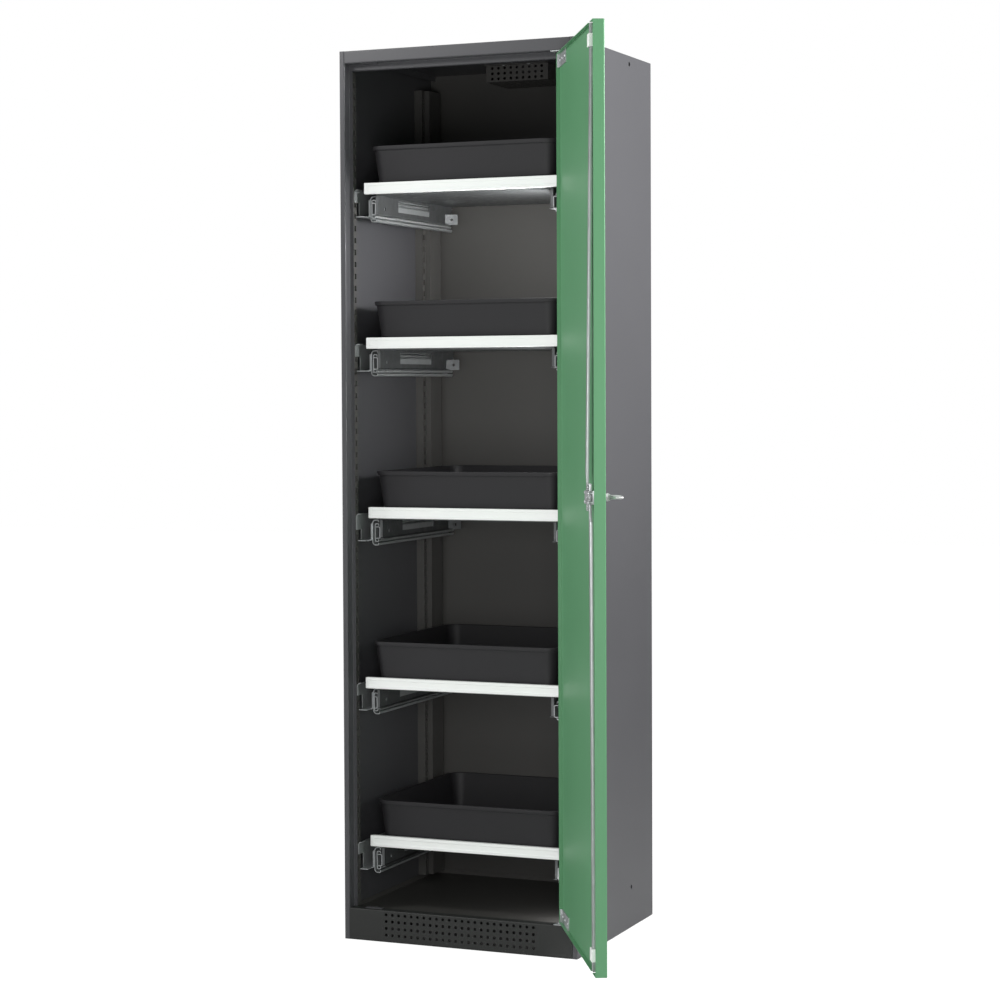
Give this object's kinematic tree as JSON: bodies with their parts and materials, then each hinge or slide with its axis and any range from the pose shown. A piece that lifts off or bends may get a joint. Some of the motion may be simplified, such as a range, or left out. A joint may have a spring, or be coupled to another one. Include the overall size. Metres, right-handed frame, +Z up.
{
  "type": "reagent drawer cabinet",
  "caption": "Tall sheet steel cabinet with a hinged door, a rod lock worked by a wing handle, and telescopic drawers that carry plastic trays above a perforated plinth.",
  "frame": {"origin": "middle of the cabinet body on the floor, without the open door", "axes": "+X to the right as seen from the front, +Y to the back, +Z up"},
  "size_m": [0.7902, 0.964, 1.992],
  "materials": {
    "body_paint": "fine-textured dark grey powder coat",
    "interior_paint": "satin dark grey powder coat",
    "door_paint": "satin green powder coat",
    "zinc_steel": "zinc plated steel",
    "grip_metal": "satin metal",
    "bar_white": "white coating",
    "tray_plastic": "dark moulded plastic",
    "guide_plastic": "white moulded plastic",
    "black_plastic": "black moulded plastic"
  },
  "bodies": {
    "cabinet": {"left_side_panel": "body_paint", "right_side_panel": "body_paint", "back_panel": "interior_paint", "roof_panel": "body_paint", "top_rail": "body_paint", "plinth_panel": "body_paint", "floor_pan": "interior_paint", "base_frame": "body_paint", "levelling_feet": "zinc_steel", "front_posts": "interior_paint", "rear_posts": "interior_paint", "exhaust_spigot": "body_paint", "exhaust_cover": "interior_paint", "hinge_brackets": "zinc_steel", "keeper_plates": "body_paint", "slide_brackets": "zinc_steel", "cabinet_rails": "zinc_steel", "cabinet_screws": "zinc_steel"},
    "door": {"door_shell": "door_paint", "door_liner": "door_paint", "door_stiffener": "zinc_steel", "hinge_plates": "zinc_steel", "hinge_pins": "zinc_steel", "lock_case": "zinc_steel", "rod_guides": "guide_plastic", "handle_rosette": "black_plastic", "door_screws": "zinc_steel"},
    "handle": {"handle_grip": "grip_metal", "lock_pinion": "zinc_steel"},
    "upper_rod": {"upper_rod": "zinc_steel"},
    "lower_rod": {"lower_rod": "zinc_steel"},
    "drawer_1": {"tray_1": "tray_plastic", "carrier_1": "zinc_steel", "front_bar_1": "bar_white", "drawer_rails_1": "zinc_steel"},
    "mid_1": {"mid_rails_1": "zinc_steel"},
    "drawer_2": {"tray_2": "tray_plastic", "carrier_2": "zinc_steel", "front_bar_2": "bar_white", "drawer_rails_2": "zinc_steel"},
    "mid_2": {"mid_rails_2": "zinc_steel"},
    "drawer_3": {"tray_3": "tray_plastic", "carrier_3": "zinc_steel", "front_bar_3": "bar_white", "drawer_rails_3": "zinc_steel"},
    "mid_3": {"mid_rails_3": "zinc_steel"},
    "drawer_4": {"tray_4": "tray_plastic", "carrier_4": "zinc_steel", "front_bar_4": "bar_white", "drawer_rails_4": "zinc_steel"},
    "mid_4": {"mid_rails_4": "zinc_steel"},
    "drawer_5": {"tray_5": "tray_plastic", "carrier_5": "zinc_steel", "front_bar_5": "bar_white", "drawer_rails_5": "zinc_steel"},
    "mid_5": {"mid_rails_5": "zinc_steel"}
  },
  "joints": [
    {"name": "door_hinge", "type": "hinge", "parent": "cabinet", "child": "door", "pos_m": [0.2511, -0.2511, 1], "axis": [0, 0, 1], "range_deg": [-118, 2]},
    {"name": "handle_turn", "type": "hinge", "parent": "door", "child": "handle", "pos_m": [0.46975, -0.65401, 1.001], "axis": [0.8829, 0.4695, 0], "range_deg": [0, 90]},
    {"name": "upper_rod_slide", "type": "slide", "parent": "door", "child": "upper_rod", "axis": [0, 0, 1], "range_m": [0, 0.01884]},
    {"name": "lower_rod_slide", "type": "slide", "parent": "door", "child": "lower_rod", "axis": [0, 0, -1], "range_m": [0, 0.0189]},
    {"name": "drawer_1_slide", "type": "slide", "parent": "cabinet", "child": "drawer_1", "axis": [0, -1, 0], "range_m": [-0.013, 0.387]},
    {"name": "mid_1_slide", "type": "slide", "parent": "cabinet", "child": "mid_1", "axis": [0, -1, 0], "range_m": [-0.0065, 0.1935]},
    {"name": "drawer_2_slide", "type": "slide", "parent": "cabinet", "child": "drawer_2", "axis": [0, -1, 0], "range_m": [-0.007, 0.393]},
    {"name": "mid_2_slide", "type": "slide", "parent": "cabinet", "child": "mid_2", "axis": [0, -1, 0], "range_m": [-0.0035, 0.1965]},
    {"name": "drawer_3_slide", "type": "slide", "parent": "cabinet", "child": "drawer_3", "axis": [0, -1, 0], "range_m": [0, 0.4]},
    {"name": "mid_3_slide", "type": "slide", "parent": "cabinet", "child": "mid_3", "axis": [0, -1, 0], "range_m": [0, 0.2]},
    {"name": "drawer_4_slide", "type": "slide", "parent": "cabinet", "child": "drawer_4", "axis": [0, -1, 0], "range_m": [-0.02, 0.38]},
    {"name": "mid_4_slide", "type": "slide", "parent": "cabinet", "child": "mid_4", "axis": [0, -1, 0], "range_m": [-0.01, 0.19]},
    {"name": "drawer_5_slide", "type": "slide", "parent": "cabinet", "child": "drawer_5", "axis": [0, -1, 0], "range_m": [0, 0.4]},
    {"name": "mid_5_slide", "type": "slide", "parent": "cabinet", "child": "mid_5", "axis": [0, -1, 0], "range_m": [0, 0.2]}
  ],
  "couplings": [
    {"joint": "handle_turn", "follows": "upper_rod_slide", "rad_per_m": 83.333},
    {"joint": "lower_rod_slide", "follows": "upper_rod_slide", "ratio": 1},
    {"joint": "mid_1_slide", "follows": "drawer_1_slide", "ratio": 0.5},
    {"joint": "mid_2_slide", "follows": "drawer_2_slide", "ratio": 0.5},
    {"joint": "mid_3_slide", "follows": "drawer_3_slide", "ratio": 0.5},
    {"joint": "mid_4_slide", "follows": "drawer_4_slide", "ratio": 0.5},
    {"joint": "mid_5_slide", "follows": "drawer_5_slide", "ratio": 0.5}
  ]
}
